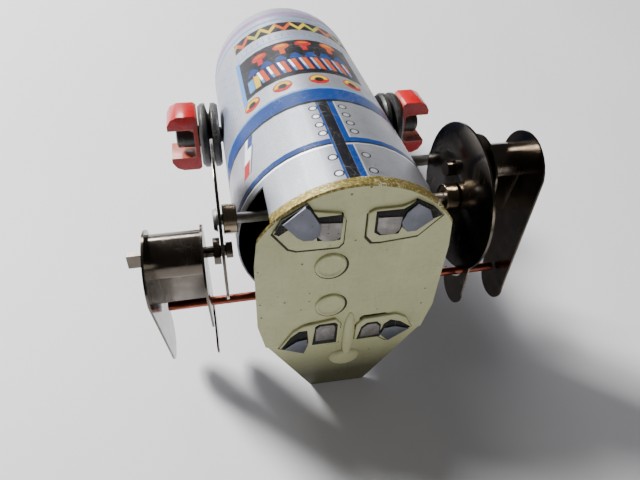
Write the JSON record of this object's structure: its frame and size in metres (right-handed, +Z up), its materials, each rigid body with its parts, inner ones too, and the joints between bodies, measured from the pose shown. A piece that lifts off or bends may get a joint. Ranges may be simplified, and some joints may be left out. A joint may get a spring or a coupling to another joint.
{
  "type": "wind-up walking robot toy",
  "caption": "Domed tin cylinder robot with a motor plate, crank discs driving two sheet-metal legs over a guide rod, and pivoting arms with C-shaped claws.",
  "frame": {"origin": "centre of the bounding box at its base: the plane that the base plate's foot touches", "axes": "+Z up through the printed front, +Y from the base plate to the dome, +X to the winding key's side"},
  "size_m": [0.0972, 0.1304, 0.0743],
  "materials": {
    "body_shell": "satin printed tin",
    "base_plate": "worn cream lacquer",
    "nickel": "bright nickel plate",
    "copper": "copper plate",
    "brass": "plain brass",
    "steel": "plain steel",
    "spring_steel": "blued spring steel",
    "black_plastic": "moulded, satin",
    "red_plastic": "glossy"
  },
  "bodies": {
    "frame": {"body_shell": "body_shell", "base_plate": "base_plate", "motor_plate_left": "steel", "motor_plate_right": "steel", "pillar_1": "steel", "pillar_2": "steel", "pillar_3": "steel", "guide_rod": "copper", "mainspring": "spring_steel"},
    "cranks": {"crank_shaft": "steel", "crank_disc_left": "nickel", "crank_disc_right": "nickel", "crank_hub_left": "brass", "crank_hub_right": "brass", "crank_pin_left": "nickel", "crank_pin_right": "nickel", "crank_pinion": "brass", "crank_wheel": "brass"},
    "left_leg": {"leg_left": "nickel"},
    "right_leg": {"leg_right": "nickel"},
    "left_arm": {"arm_left": "black_plastic", "claw_left": "red_plastic"},
    "right_arm": {"arm_right": "black_plastic", "claw_right": "red_plastic"},
    "winding": {"winding_arbor": "steel", "winding_key": "nickel", "ratchet_wheel": "steel"},
    "main_wheel": {"great_wheel": "brass", "click": "steel"},
    "escape": {"escape_arbor": "steel", "escape_pinion": "steel", "escape_wheel": "steel"},
    "verge": {"pallet": "steel"}
  },
  "joints": [
    {"name": "crank_spin", "type": "hinge", "parent": "frame", "child": "cranks", "pos_m": [0, -0.04745, 0.05663], "axis": [1, 0, 0], "continuous": true},
    {"name": "left_leg_pivot", "type": "hinge", "parent": "cranks", "child": "left_leg", "pos_m": [-0.038, -0.05207, 0.05157], "axis": [1, 0, 0], "continuous": true},
    {"name": "right_leg_pivot", "type": "hinge", "parent": "cranks", "child": "right_leg", "pos_m": [0.038, -0.04283, 0.06169], "axis": [1, 0, 0], "continuous": true},
    {"name": "main_wheel_spin", "type": "hinge", "parent": "frame", "child": "main_wheel", "pos_m": [0, -0.02665, 0.05343], "axis": [1, 0, 0], "continuous": true},
    {"name": "escape_spin", "type": "hinge", "parent": "frame", "child": "escape", "pos_m": [0, -0.04345, 0.04423], "axis": [1, 0, 0], "continuous": true},
    {"name": "verge_rock", "type": "hinge", "parent": "frame", "child": "verge", "pos_m": [0, -0.03565, 0.03493], "axis": [1, 0, 0], "range_deg": [-5, 5]},
    {"name": "key_turn", "type": "hinge", "parent": "frame", "child": "winding", "pos_m": [0, -0.02665, 0.05343], "axis": [1, 0, 0], "continuous": true},
    {"name": "left_arm_turn", "type": "hinge", "parent": "frame", "child": "left_arm", "pos_m": [-0.031, 0.00635, 0.04643], "axis": [1, 0, 0], "continuous": true},
    {"name": "right_arm_turn", "type": "hinge", "parent": "frame", "child": "right_arm", "pos_m": [0.031, 0.00635, 0.04643], "axis": [1, 0, 0], "continuous": true}
  ],
  "couplings": [
    {"joint": "left_leg_pivot", "follows": "crank_spin", "ratio": -1},
    {"joint": "right_leg_pivot", "follows": "crank_spin", "ratio": -1},
    {"joint": "main_wheel_spin", "follows": "crank_spin", "ratio": -0.5},
    {"joint": "escape_spin", "follows": "crank_spin", "ratio": -2.25}
  ]
}
